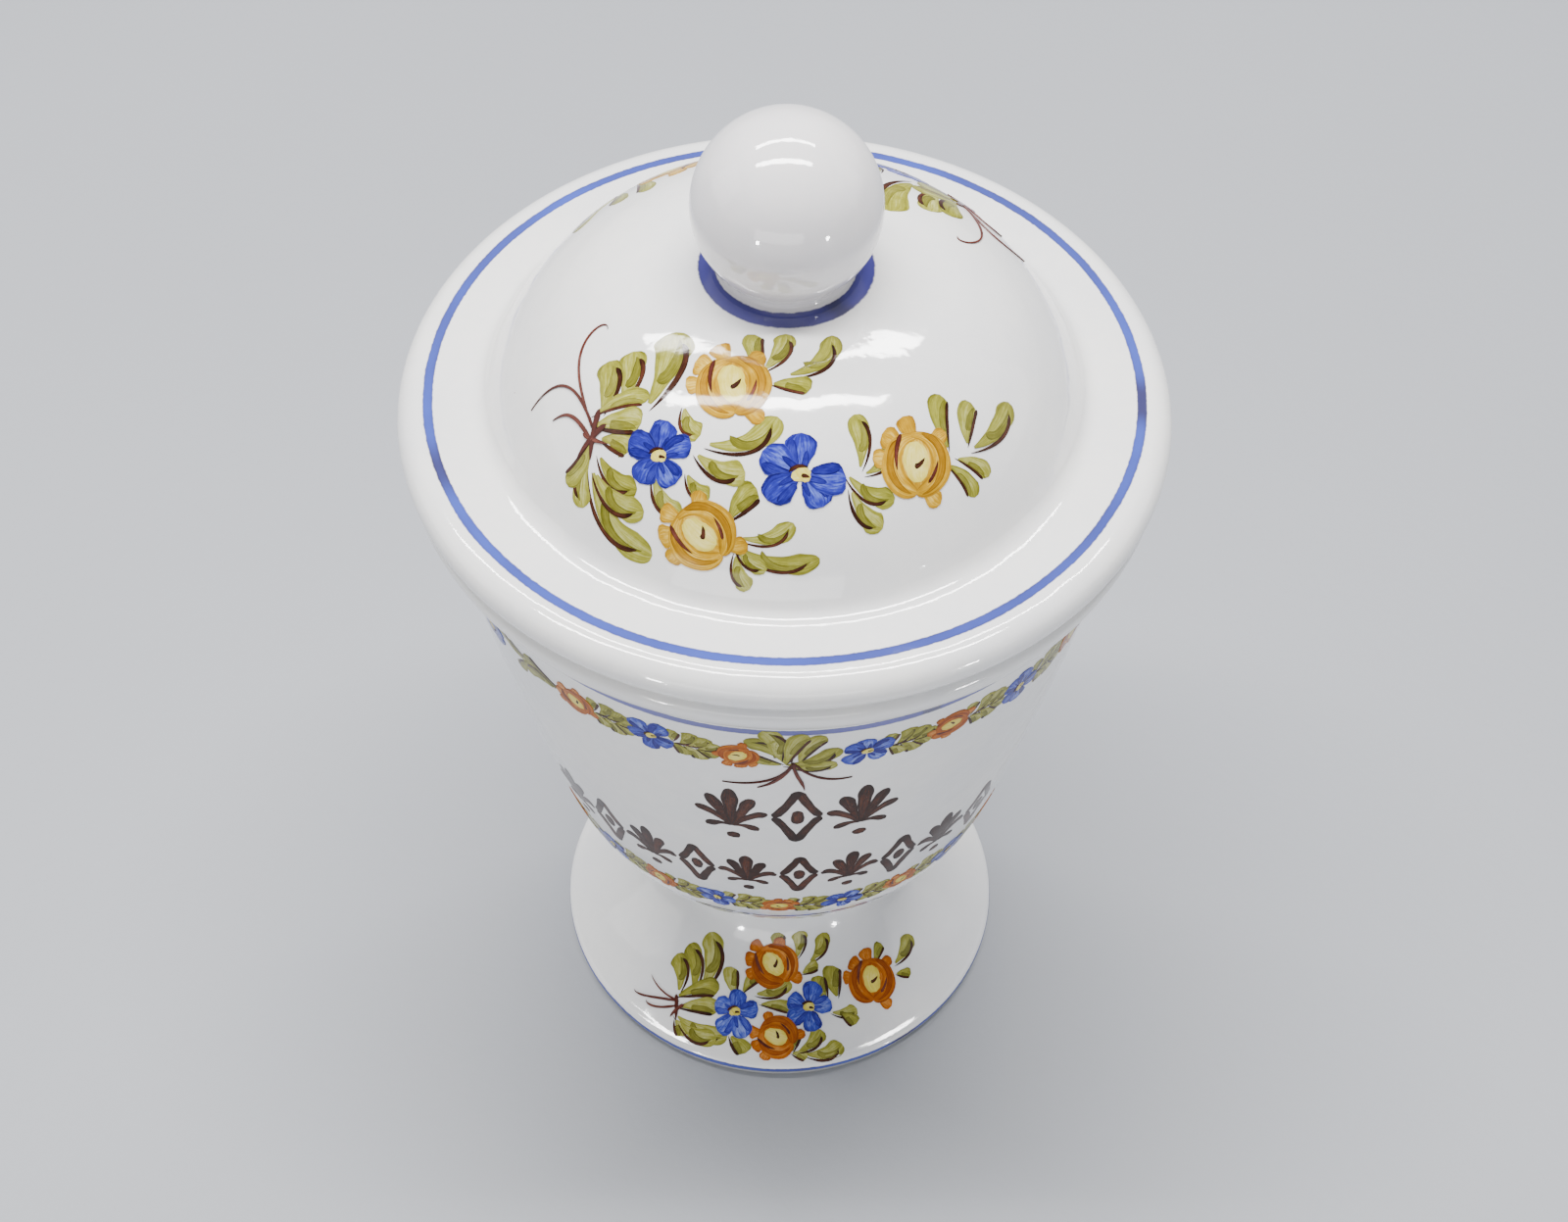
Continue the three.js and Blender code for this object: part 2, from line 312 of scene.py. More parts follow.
class Wall:
    """A painted surface of revolution, listed upwards, on to which brush strokes are laid."""

    def __init__(self, outline, key):
        self.points = np.array(sorted(outline, key=lambda p: p[1]))
        self.key = key
        step = np.gradient(self.points, axis=0)
        step /= np.linalg.norm(step, axis=1)[:, None]
        self.normals = np.stack([step[:, 1], -step[:, 0]], axis=1)

    def at(self, azimuth, place):
        """The point at an azimuth and a radius or height, whichever the wall is keyed by."""
        along = self.points[:, self.key]
        order = np.argsort(along)
        radius = np.interp(place, along[order], self.points[order, 0])
        height = np.interp(place, along[order], self.points[order, 1])
        angle = math.radians(azimuth)
        return np.array([radius * math.sin(angle), -radius * math.cos(angle), height])

    def settle(self, points):
        """The nearest points of the wall, and its outward normals there."""
        radius = np.hypot(points[:, 0], points[:, 1])
        flat = np.stack([radius, points[:, 2]], axis=1)
        start, stop = self.points[:-1], self.points[1:]
        run = stop - start
        share = ((flat[:, None] - start) * run).sum(2) / (run * run).sum(1)
        share = np.clip(share, 0, 1)
        foot = start + run * share[:, :, None]
        best = ((flat[:, None] - foot) ** 2).sum(2).argmin(1)
        row = np.arange(len(flat))
        share = share[row, best][:, None]
        foot = foot[row, best]
        normal = self.normals[best] * (1 - share) + self.normals[best + 1] * share
        normal /= np.linalg.norm(normal, axis=1)[:, None]
        east = points[:, :2] / radius[:, None]
        on_wall = np.column_stack([east * foot[:, :1], foot[:, 1]])
        return on_wall, np.column_stack([east * normal[:, :1], normal[:, 1]])


class Spot:
    """A flat drawing frame that touches the wall: x runs to the right and y up the wall."""

    def __init__(self, wall, azimuth, place, turn=0.0):
        self.wall = wall
        self.origin = wall.at(azimuth, place)
        normal = wall.settle(self.origin[None])[1][0]
        angle = math.radians(azimuth)
        right = np.array([math.cos(angle), math.sin(angle), 0.0])
        up = np.cross(normal, right)
        spin = math.radians(turn)
        self.right = right * math.cos(spin) + up * math.sin(spin)
        self.up = up * math.cos(spin) - right * math.sin(spin)

    def local(self, azimuth, place):
        away = self.wall.at(azimuth, place) - self.origin
        return float(away @ self.right), float(away @ self.up)

    def place(self, flat):
        return self.wall.settle(
            self.origin + flat[:, :1] * self.right + flat[:, 1:] * self.up
        )


def comma(t):
    """A stroke that starts thin and ends in a full round belly."""
    belly = 0.74
    rise = np.clip(t / belly, 0, 1) ** 0.9
    fall = np.sqrt(np.clip(1 - ((t - belly) / (1 - belly)).clip(0, 1) ** 2, 0, 1))
    return np.where(t < belly, 0.1 + 0.9 * rise, fall)


def petal(t):
    belly = 0.62
    rise = np.sin(np.clip(t / belly, 0, 1) * math.pi / 2) ** 0.9
    fall = np.sqrt(np.clip(1 - ((t - belly) / (1 - belly)).clip(0, 1) ** 2.4, 0, 1))
    return np.where(t < belly, 0.24 + 0.76 * rise, fall)


def dab(t):
    return np.sqrt(np.clip(1 - (2 * t - 1) ** 2, 0, 1)) ** 0.8


def line(t):
    """A liner stroke: it lands firmly, thins and lifts off."""
    ends = np.clip(t / 0.12, 0, 1) ** 0.6 * np.clip((1 - t) / 0.35, 0, 1) ** 0.6
    return ends * (1 - 0.25 * t)


def bar(t):
    """A firm stroke of even weight with round ends."""
    return np.clip(t / 0.1, 0, 1) ** 0.5 * np.clip((1 - t) / 0.1, 0, 1) ** 0.5


def bezier(controls, t):
    points = np.array(controls, float)[:, None, :].repeat(len(t), axis=1)
    while len(points) > 1:
        points = points[:-1] * (1 - t)[:, None] + points[1:] * t[:, None]
    return points[0]


class Painting:
    """Strokes of one decoration: closed patches that stand less than half a millimetre proud."""

    LOWEST, RISE, ROOT = 0.03, 0.006, 0.05      # first layer, each further layer, foot in the wall
    STEP, LANE = 0.65, 0.7                      # length and width of a face

    def __init__(self, paints):
        self.paints = paints
        self.points, self.faces, self.ink_of, self.brush, self.normals = [], [], [], [], []
        self.layer = 0

    def stroke(self, spot, controls, width, ink, shape=comma):
        """One stroke along a Bezier spine in the spot's frame, in mm."""
        fine = bezier(controls, np.linspace(0, 1, 24))
        length = np.linalg.norm(np.diff(fine, axis=0), axis=1).sum()
        steps = int(min(40, max(6, length / self.STEP)))
        lanes = int(min(8, max(2, width / self.LANE)))
        t = (1 - np.cos(np.linspace(0, math.pi, steps + 1))) / 2
        t = 0.5 * t + 0.5 * np.linspace(0, 1, steps + 1)
        middle = bezier(controls, t)
        ahead = np.gradient(middle, axis=0)
        ahead /= np.linalg.norm(ahead, axis=1)[:, None] + 1e-9
        left = np.stack([-ahead[:, 1], ahead[:, 0]], axis=1)
        sway = brush_hand.uniform(0, 6.3)
        half = width / 2 * np.maximum(shape(t), 0.03)
        half = half * (1 + 0.06 * np.sin(7 * t + sway) + 0.035 * np.sin(19 * t + 2 * sway))
        across = np.linspace(-1, 1, lanes + 1)
        flat = middle[:, None] + left[:, None] * (half[:, None] * across)[:, :, None]
        on_wall, normal = spot.place(flat.reshape(-1, 2))
        lift = self.LOWEST + self.RISE * self.layer
        base = len(self.points)
        count = len(on_wall)
        top, bottom = on_wall + normal * lift, on_wall - normal * self.ROOT
        self.points.extend(np.concatenate([top, bottom]).tolist())
        tone = brush_hand.random()
        grid = np.stack(np.meshgrid(t, across, indexing="ij"), axis=2).reshape(-1, 2)
        mark = [(a, b, tone) for a, b in grid.tolist()]
        self.brush.extend(mark + mark)
        self.normals.extend(normal.tolist() + [(0.0, 0.0, 0.0)] * count)
        wide = lanes + 1
        faces = []
        for i in range(steps):
            for j in range(lanes):
                a = base + i * wide + j
                faces.append((a, a + wide, a + wide + 1, a + 1))
        for a, b, c, d in list(faces):
            faces.append((d + count, c + count, b + count, a + count))
        rim = [base + i * wide for i in range(steps + 1)]
        rim += [base + steps * wide + j for j in range(1, lanes + 1)]
        rim += [base + i * wide + lanes for i in range(steps - 1, -1, -1)]
        rim += [base + j for j in range(lanes - 1, 0, -1)]
        for a, b in zip(rim, rim[1:] + rim[:1]):
            faces.append((b, a, a + count, b + count))
        self.faces.extend(faces)
        self.ink_of.extend([INKS.index(ink)] * len(faces))

    def finish(self, name, body):
        used = sorted(set(self.ink_of))
        piece = make_piece(
            name, self.points, self.faces, [self.paints[INKS[i]] for i in used], body
        )
        mesh = piece.data
        mesh.polygons.foreach_set("material_index", [used.index(i) for i in self.ink_of])
        marks = mesh.attributes.new("brush", "FLOAT_VECTOR", "POINT")
        marks.data.foreach_set("vector", np.array(self.brush, np.float32).ravel())
        tops = []
        for face, polygon in zip(self.faces, mesh.polygons):
            shown = all(self.normals[v] != (0.0, 0.0, 0.0) for v in face)
            for v in polygon.vertices:
                tops.append(self.normals[v] if shown else (0.0, 0.0, 0.0))
        mesh.normals_split_custom_set(tops)
        return piece


# ---- materials ----

GLAZE_COAT, GLAZE_IOR, COAT_ROUGHNESS = 0.3, 1.62, 0.035
PAINT_COAT, PAINT_IOR = 0.08, 1.36
FULL_GLOSS, WALL_PAINT_GLOSS = 0.5, 0.16
PAINT_ROUGHNESS = (0.06, 0.11)
BAND_COVER, USUAL_DOSE = 0.96, 0.36
WAVES = 1.3             # share of the slow waves and ripples of a hand-dipped glaze
WAVE_HEIGHT, RIPPLE_HEIGHT, PEEL_HEIGHT = 0.00042, 0.00005, 0.000007
PINHOLE_DEPTH, CLAY_GRAIN = 0.00003, 0.00012


class Tree:
    """Short calls for building a node material."""

    def __init__(self, name):
        self.material = bpy.data.materials.new(name)
        self.material.use_nodes = True
        self.tree = self.material.node_tree
        self.tree.nodes.clear()
        self.coordinates = self.node("ShaderNodeTexCoord").outputs["Object"]

    def node(self, kind, settings=(), **inputs):
        made = self.tree.nodes.new(kind)
        for key, value in dict(settings).items():
            setattr(made, key, value)
        for key, value in inputs.items():
            self.feed(made.inputs[key.replace("_", " ")], value)
        return made

    def feed(self, socket, value):
        if isinstance(value, bpy.types.NodeSocket):
            self.tree.links.new(value, socket)
        else:
            socket.default_value = value

    def sum(self, operation, a, b=0.0, clamp=False):
        made = self.tree.nodes.new("ShaderNodeMath")
        made.operation = operation
        made.use_clamp = clamp
        for socket, value in zip(made.inputs, (a, b)):
            self.feed(socket, value)
        return made.outputs[0]

    def fit(self, value, low, high, to_low=0.0, to_high=1.0):
        made = self.node(
            "ShaderNodeMapRange", {"interpolation_type": "SMOOTHSTEP"}, Value=value,
            From_Min=low, From_Max=high, To_Min=to_low, To_Max=to_high,
        )
        return made.outputs[0]

    def noise(self, scale, detail=3.0, roughness=0.5, vector=None):
        made = self.node(
            "ShaderNodeTexNoise", Vector=vector or self.coordinates, Scale=scale,
            Detail=detail, Roughness=roughness,
        )
        return made.outputs["Fac"]

    def centred(self, value):
        """A value from 0 to 1 moved to lie round 0."""
        return self.sum("SUBTRACT", value, 0.5)

    def mix(self, share, a, b):
        made = self.tree.nodes.new("ShaderNodeMix")
        made.data_type = "RGBA"
        self.feed(made.inputs["Factor"], share)
        self.feed(made.inputs["A"], a)
        self.feed(made.inputs["B"], b)
        return made.outputs["Result"]

    def ramp(self, share, stops):
        made = self.tree.nodes.new("ShaderNodeValToRGB")
        points = made.color_ramp.elements
        while len(points) < len(stops):
            points.new(0.5)
        for element, (position, colour) in zip(points, stops):
            element.position = position
            element.color = colour
        self.feed(made.inputs["Fac"], share)
        return made.outputs["Color"]

    def glossy(self, colour, roughness, height, coat=GLAZE_COAT, ior=GLAZE_IOR,
               gloss=FULL_GLOSS):
        """Fired glaze: a smooth glass coat over a slightly softer body."""
        bump = self.node("ShaderNodeBump", Strength=1.0, Distance=1.0, Height=height)
        shader = self.node(
            "ShaderNodeBsdfPrincipled", Base_Color=colour, Roughness=roughness,
            IOR=ior, Specular_IOR_Level=gloss, Coat_Weight=coat, Coat_Roughness=COAT_ROUGHNESS,
            Normal=bump.outputs[0], Coat_Normal=bump.outputs[0],
        )
        return self.show(shader)

    def show(self, shader):
        self.node("ShaderNodeOutputMaterial", Surface=shader.outputs[0])
        return self.material

    def uneven(self, least, most):
        """Roughness that drifts between two values."""
        return self.fit(self.noise(85, 4.0, 0.6), 0.25, 0.8, least, most)

    def glaze_relief(self, waves=WAVES):
        """Height in metres: slow waves of the thrown wall, ripple and orange peel of the glaze."""
        slow = self.sum("MULTIPLY", self.noise(42, 2.0), WAVE_HEIGHT * waves)
        ripple = self.sum("MULTIPLY", self.noise(210, 2.0), RIPPLE_HEIGHT * waves)
        peel = self.sum("MULTIPLY", self.noise(1300, 2.0), PEEL_HEIGHT)
        return self.sum("ADD", self.sum("ADD", slow, ripple), peel)


def rgb(hex_colour):
    """A display colour as linear light."""
    parts = [int(hex_colour[i:i + 2], 16) / 255 for i in (0, 2, 4)]
    linear = [p / 12.92 if p <= 0.04045 else ((p + 0.055) / 1.055) ** 2.4 for p in parts]
    return tuple(linear) + (1.0,)


def band_mask(t, distance, half):
    """1 on a painted line and 0 off it, with a wavering brush edge. Lengths are in metres."""
    waver = t.sum("MULTIPLY", t.centred(t.noise(45, 2.0)), half * 0.9)
    edge = t.sum("MULTIPLY", t.centred(t.noise(900, 3.0)), half * 0.35)
    off = t.sum("ABSOLUTE", t.sum("ADD", distance, t.sum("MULTIPLY", waver, 0.5)))
    off = t.sum("ADD", off, t.sum("ADD", edge, t.sum("MULTIPLY", waver, 0.3)))
    return t.fit(off, half * 1.12, half * 0.82)


def add_band(t, colour, place, band):
    """A painted line over a colour. Place holds the x, y, z and radius of the point shaded."""
    x, y, z, radius = place
    axis, position, half, (pale, deep), overlaps, least, most = band
    along, beside = (z, radius) if axis == "z" else (radius, z)
    distance = t.sum("SUBTRACT", along, position * MM)
    mask = band_mask(t, distance, half * MM)
    inside = t.sum("MULTIPLY", t.sum("GREATER_THAN", beside, least * MM),
                   t.sum("LESS_THAN", beside, most * MM))
    mask = t.sum("MULTIPLY", mask, inside)
    azimuth = t.sum("ARCTAN2", x, t.sum("MULTIPLY", y, -1.0))
    dose = t.fit(t.noise(34, 3.0, 0.6), 0.3, 0.72)
    off_middle = t.sum("DIVIDE", t.sum("ABSOLUTE", distance), half * MM)
    dose = t.sum("ADD", t.sum("MULTIPLY", dose, 0.45), t.fit(off_middle, 0.35, 1.0, 0.0, 0.3))
    for overlap, length in overlaps:
        away = t.sum("ABSOLUTE", t.sum("SUBTRACT", azimuth, math.radians(overlap)))
        dose = t.sum("ADD", dose, t.fit(away, math.radians(length), 0.02, 0.0, 0.75))
    ink = t.mix(t.sum("MINIMUM", dose, 1.0), pale, deep)
    return t.mix(t.sum("MULTIPLY", mask, BAND_COVER), colour, ink)


def add_specks(t, colour):
    """Iron specks: a brown dot in a fifth of the cells of a coarse pattern."""
    cells = t.node("ShaderNodeTexVoronoi", Vector=t.coordinates, Scale=62.0, Randomness=1.0)
    luck = t.node("ShaderNodeSeparateColor", Color=cells.outputs["Color"])
    speck = t.sum("MULTIPLY", t.fit(cells.outputs["Distance"], 0.016, 0.008),
                  t.sum("GREATER_THAN", luck.outputs[0], 0.8))
    return t.mix(t.sum("MULTIPLY", speck, 0.75), colour, rgb("6b4a2e"))


def pinholes(t):
    """Depth of the pinholes, one in a tenth of the cells of a fine pattern."""
    cells = t.node("ShaderNodeTexVoronoi", Vector=t.coordinates, Scale=150.0, Randomness=1.0)
    luck = t.node("ShaderNodeSeparateColor", Color=cells.outputs["Color"])
    pit = t.sum("MULTIPLY", t.fit(cells.outputs["Distance"], 0.045, 0.01),
                t.sum("GREATER_THAN", luck.outputs[1], 0.9))
    return t.sum("MULTIPLY", pit, PINHOLE_DEPTH)


def bare_clay(t, z, bare_below, colour, rough, height):
    """Unglazed clay below a height in mm, with a ragged edge."""
    ragged = t.sum("ADD", z, t.sum("MULTIPLY", t.noise(260, 3.0), 0.0005))
    bare = t.fit(ragged, (bare_below + 0.45) * MM, bare_below * MM)
    clay = t.mix(t.noise(700, 4.0, 0.7), rgb("c9a183"), rgb("dcc0a4"))
    grain = t.sum("MULTIPLY", bare, t.noise(1900, 3.0, 0.7))
    return (
        t.mix(bare, colour, clay),
        t.sum("ADD", t.sum("MULTIPLY", bare, 0.6), rough, clamp=True),
        t.sum("ADD", height, t.sum("MULTIPLY", grain, CLAY_GRAIN)),
    )


def glaze(name, white, shade, roughness, bands=(), bare_below=None, waves=WAVES):
    """Tin glaze with pooled tints, iron specks, pinholes and painted lines.

    A band is (axis, position, half width, colours, overlaps, least, most). The axis is z or r, the
    overlaps are (azimuth, length) in degrees, and least and most bound the other of z and r. The
    rest is in mm.
    """
    t = Tree(name)
    x, y, z = t.node("ShaderNodeSeparateXYZ", Vector=t.coordinates).outputs
    radius = t.sum("SQRT", t.sum("ADD", t.sum("MULTIPLY", x, x), t.sum("MULTIPLY", y, y)))
    pools = t.fit(t.noise(26, 4.0, 0.55), 0.35, 0.68)
    colour = t.mix(pools, white, shade)
    cloud = t.fit(t.noise(330, 4.0, 0.6), 0.3, 0.75, 0.0, 0.12)
    colour = t.mix(cloud, colour, rgb("cfd3dc"))
    for band in bands:
        colour = add_band(t, colour, (x, y, z, radius), band)
    colour = add_specks(t, colour)
    rough = t.uneven(roughness * 0.75, roughness * 1.35)
    height = t.sum("SUBTRACT", t.glaze_relief(waves), pinholes(t))
    if bare_below is not None:
        colour, rough, height = bare_clay(t, z, bare_below, colour, rough, height)
    return t.glossy(colour, rough, height)


def paint(name, pale, body, deep, strength, gloss):
    """In-glaze colour laid by brush: thin in the run of the stroke, pooled at rim and lift."""
    t = Tree(name)
    brush = t.node("ShaderNodeAttribute", {"attribute_name": "brush"})
    parts = t.node("ShaderNodeSeparateXYZ", Vector=brush.outputs["Vector"])
    along, across, tone = parts.outputs
    rim = t.fit(t.sum("ABSOLUTE", across), 0.45, 0.97)
    lift = t.fit(along, 0.62, 1.0)
    start = t.fit(along, 0.3, 0.0)
    hair = t.node("ShaderNodeCombineXYZ", X=t.sum("MULTIPLY", along, 1.6),
                  Y=t.sum("MULTIPLY", across, 4.2), Z=t.sum("MULTIPLY", tone, 60.0))
    streak = t.noise(1.7, 3.0, 0.6, hair.outputs[0])
    cloud = t.noise(620, 3.0, 0.6)
    dose = 0.0
    for value, share in (
        (t.centred(streak), 1.15 * strength), (t.centred(cloud), 0.5), (rim, 0.26 * strength),
        (lift, 0.16 * strength), (start, 0.14 * strength), (t.centred(tone), 0.25),
    ):
        dose = t.sum("ADD", t.sum("MULTIPLY", value, share), dose)
    dose = t.sum("ADD", dose, USUAL_DOSE, clamp=True)
    colour = t.ramp(dose, [(0.05, pale), (0.45, body), (0.95, deep)])
    soft = t.fit(t.sum("ABSOLUTE", across), 0.92, 1.0, 0.0, 0.2)
    colour = t.mix(soft, colour, pale)
    return t.glossy(
        colour, t.uneven(*PAINT_ROUGHNESS), t.glaze_relief(), PAINT_COAT * gloss, PAINT_IOR, gloss
    )


LINE_BLUE = (rgb("2640aa"), rgb("0b0852"))
WALL_BLUE = (rgb("2a2f9c"), rgb("0c0a50"))
NECK_BLUE = (rgb("241f86"), rgb("110c52"))

COVER_GLAZE = glaze(
    "cover_glaze_tin", rgb("efeeec"), rgb("e8e8e9"), 0.07,
    [
        ("r", 70.0, 1.0, LINE_BLUE, [(-69.5, 8), (86, 7)], 186.5, 188.5),
        ("r", 15.2, 1.4, NECK_BLUE, [(40, 14)], 216.0, 219.0),
    ],
)
BOWL_GLAZE = glaze(
    "bowl_glaze_tin", rgb("edecea"), rgb("e4e5e7"), 0.07,
    [
        ("z", LINE_HEIGHT - 0.6, 1.0, WALL_BLUE, [(24, 2), (-140, 5)], 66, 74),
        ("z", 69.0, 0.6, WALL_BLUE, [(-60, 6)], 47, 54),
    ],
)
FOOT_GLAZE = glaze(
    "foot_glaze_tin", rgb("ebebea"), rgb("e1e2e5"), 0.08,
    [("z", 3.4, 0.75, LINE_BLUE, [(35, 6), (-150, 8)], 50, 56)], bare_below=0.25,
)
FLANGE_GLAZE = glaze("flange_glaze_tin", rgb("e4e2dd"), rgb("d9d5cd"), 0.28, waves=0.6)
KNOB_GLAZE = glaze(
    "knob_glaze_tin", rgb("ece9ea"), rgb("e3e0e3"), 0.05,
    [("z", 217.9, 0.55, NECK_BLUE, [(40, 14)], 12, 16)], waves=0.7,
)

# thin, usual and pooled colour of each ink, and how strongly its dose varies
INK_COLOURS = {
    "cobalt": ("5f70c8", "2c2f98", "130c52", 1.25),
    "navy": ("353c9c", "1d1a74", "0e083a", 1.2),
    "sky": ("8698d8", "3c4ab0", "1d1c7c", 1.25),
    "olive": ("b9b878", "8f8e36", "5c5a10", 1.0),
    "moss": ("8f8d42", "6b6920", "3c3b0a", 1.0),
    "umber": ("5e3322", "30170d", "140805", 1.1),
    "sepia": ("7a4538", "4a1f18", "28100c", 1.0),
    "ochre": ("dcbc5c", "b58a14", "845a05", 1.15),
    "amber": ("b98a22", "936808", "683f03", 1.15),
    "rust": ("cf9146", "ab5c0e", "753004", 1.0),
    "russet": ("b06420", "8a4006", "5a2202", 1.0),
    "straw": ("e8de90", "d6c552", "b09a22", 0.7),
}
INKS = list(INK_COLOURS)


def paint_set(place, gloss):
    """The inks as they fire on one part of the jar."""
    return {
        ink: paint(f"paint_{ink}_{place}", rgb(pale), rgb(body), rgb(deep), strength, gloss)
        for ink, (pale, body, deep, strength) in INK_COLOURS.items()
    }


PAINT_ON_TOP = paint_set("top", FULL_GLOSS)
PAINT_ON_WALL = paint_set("wall", WALL_PAINT_GLOSS)

# ---- turned pieces ----

lathe("foot_body", foot_outline(), FOOT_GLAZE, "jar", "jar_foot")
lathe("bowl_body", bowl_outline(), BOWL_GLAZE, "jar", "jar_bowl")
lathe("cover_body", cover_outline(), COVER_GLAZE, "lid", "lid_cover")
lathe("flange_ring", flange_outline(), FLANGE_GLAZE, "lid", "lid_flange")
lathe("knob_ball", knob_outline(), KNOB_GLAZE, "lid", "lid_knob")

DOME = Wall(dome_outline(), 0)
SKIRT = Wall(foot_skirt() + arc(
    FOOT_RADIUS - FOOT_EDGE_ROUND, FOOT_EDGE_HEIGHT, FOOT_EDGE_ROUND, 72, 4, 10)[1:], 0)
BOWL = Wall(bowl_wall(0, JOINT_RADIUS), 1)

# ---- brush motifs ----

LAYERS_OF_LEAF, LEAF_CYCLE, LAYERS_OF_FLOWER = 3, 5, 22
FLOWER_LAYER = LAYERS_OF_LEAF * LEAF_CYCLE + 1
LINE_LAYER = FLOWER_LAYER + LAYERS_OF_FLOWER
LINER_LEAST = 0.62


def leaves(work, wall, fan, turn=0.0, fatter=1.0):
    """A fan of leaves, kept thin by starting again at the lowest layer after every cycle."""
    for k, (base, tip, width, bend) in enumerate(fan):
        work.layer = LAYERS_OF_LEAF * (k % LEAF_CYCLE)
        leaf(work, wall, base, tip, width * fatter, bend, turn)


def leaf(work, wall, base, tip, width, bend, turn):
    """A comma leaf from base to tip, each (azimuth, place), with a dark liner stroke beside it."""
    work.layer += 1
    spot = Spot(wall, (base[0] + tip[0]) / 2 + turn, (base[1] + tip[1]) / 2)
    start = np.array(spot.local(base[0] + turn, base[1]))
    stop = np.array(spot.local(tip[0] + turn, tip[1]))
    run = stop - start
    side = np.array([-run[1], run[0]])
    controls = [start, start + run * 0.35 + side * bend, start + run * 0.75 + side * bend, stop]
    work.stroke(spot, controls, width, "olive")
    work.layer += 1
    inner = [c - side / np.linalg.norm(run) * width * 0.2 for c in controls[1:]]
    work.stroke(spot, [start + run * 0.3] + inner[:-1] + [stop - run * 0.1 + (
        inner[-1] - stop) * 0.9], width * 0.34, "moss", line)
    work.layer += 1
    push = -side / np.linalg.norm(run) * width
    liner = [
        start - run * 0.1 + push * 0.05, start + run * 0.3 + side * bend + push * 0.42,
        start + run * 0.7 + side * bend + push * 0.5, stop - run * 0.14 + push * 0.3,
    ]
    work.stroke(spot, liner[::-1], max(LINER_LEAST, width * 0.18), "umber", line)


def flower(work, wall, azimuth, place, size, turn, inks):
    """A five-petalled blue flower with a straw-yellow heart."""
    work.layer = max(work.layer, FLOWER_LAYER)
    spot = Spot(wall, azimuth, place, turn)
    for k in range(5):
        work.layer += 1
        angle = math.radians(90 + 72 * k + brush_hand.uniform(-12, 12))
        reach = size * brush_hand.uniform(0.86, 1.1)
        ahead = np.array([math.cos(angle), math.sin(angle)])
        side = np.array([-ahead[1], ahead[0]])
        sway = side * reach * brush_hand.uniform(-0.14, 0.14)
        work.stroke(
            spot, [ahead * reach * 0.14, ahead * reach * 0.6 + sway, ahead * reach],
            size * brush_hand.uniform(0.68, 0.88), inks[0], petal,
        )
        work.layer += 1
        off = side * reach * 0.22
        work.stroke(
            spot, [ahead * reach * 0.2 + off * 0.4, ahead * reach * 0.6 + off * 1.3 + sway,
                   ahead * reach * 0.86 + off], reach * 0.26, inks[1], dab,
        )
        work.stroke(
            spot, [ahead * reach * 0.16 - off * 0.3, ahead * reach * 0.42 - off * 0.5,
                   ahead * reach * 0.58 - off * 0.6], reach * 0.16, inks[1], line,
        )
    work.layer += 1
    for a, b, wide in (((-0.22, -0.1), (0.2, 0.12), 0.3), ((-0.12, 0.14), (0.2, -0.1), 0.26)):
        work.layer += 1
        work.stroke(spot, [np.array(a) * size, np.array(b) * size], wide * size, "straw", dab)
    work.layer += 1
    for a, b, c in (
        ((-0.3, 0.02), (-0.12, 0.26), (0.12, 0.2)), ((0.0, -0.02), (0.1, 0.02), (0.2, -0.02)),
    ):
        work.stroke(spot, [np.array(p) * size for p in (a, b, c)], 0.1 * size, "umber", line)


